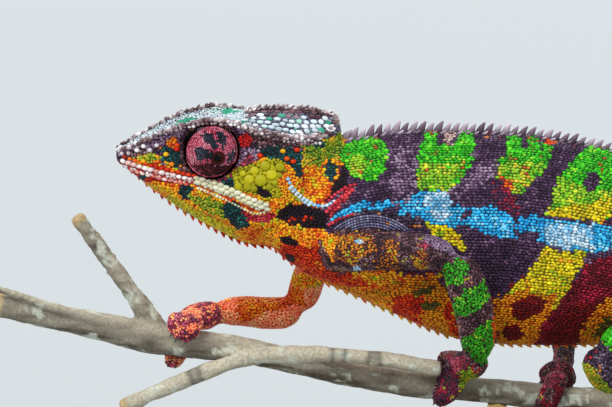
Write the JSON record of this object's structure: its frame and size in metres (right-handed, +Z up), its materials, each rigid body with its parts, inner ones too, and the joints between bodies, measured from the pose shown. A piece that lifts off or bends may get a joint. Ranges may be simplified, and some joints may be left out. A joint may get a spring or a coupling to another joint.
{
  "type": "panther chameleon model on a perch",
  "caption": "Life-size still model of a panther chameleon walking along a cut perch, with a coiled tail, on a flat stand with short rods.",
  "frame": {"origin": "centre of the stand base's flat underside", "axes": "+X from the snout towards the tail, the animal's left side faces -Y, +Z up"},
  "size_m": [0.2591, 0.088, 0.1256],
  "materials": {
    "skin": "dry granular scales: dark plum with green bars, a pale blue side stripe, yellow, orange and red",
    "eye_turret": "fine ringed scales, crimson with slate patches",
    "eyeball": "wet and glossy",
    "bark": "grey-brown bark with pale lichen",
    "base_wood": "satin dark hardwood",
    "rod_brass": "satin"
  },
  "bodies": {
    "root": {"eye_left": "eye_turret", "eye_right": "eye_turret", "eyeball_left": "eyeball", "eyeball_right": "eyeball", "fore_left_forearm": "skin", "fore_left_hand": "skin", "fore_left_upper_arm": "skin", "fore_right_forearm": "skin", "fore_right_hand": "skin", "fore_right_upper_arm": "skin", "head": "skin", "hind_left_foot": "skin", "hind_left_shank": "skin", "hind_left_thigh": "skin", "hind_right_foot": "skin", "hind_right_shank": "skin", "hind_right_thigh": "skin", "neck": "skin", "perch": "bark", "stand_base": "base_wood", "stand_rod_back": "rod_brass", "stand_rod_front": "rod_brass", "tail_1": "skin", "tail_2": "skin", "tail_3": "skin", "tail_4": "skin", "tail_5": "skin", "tail_6": "skin", "trunk": "skin"}
  },
  "joints": []
}
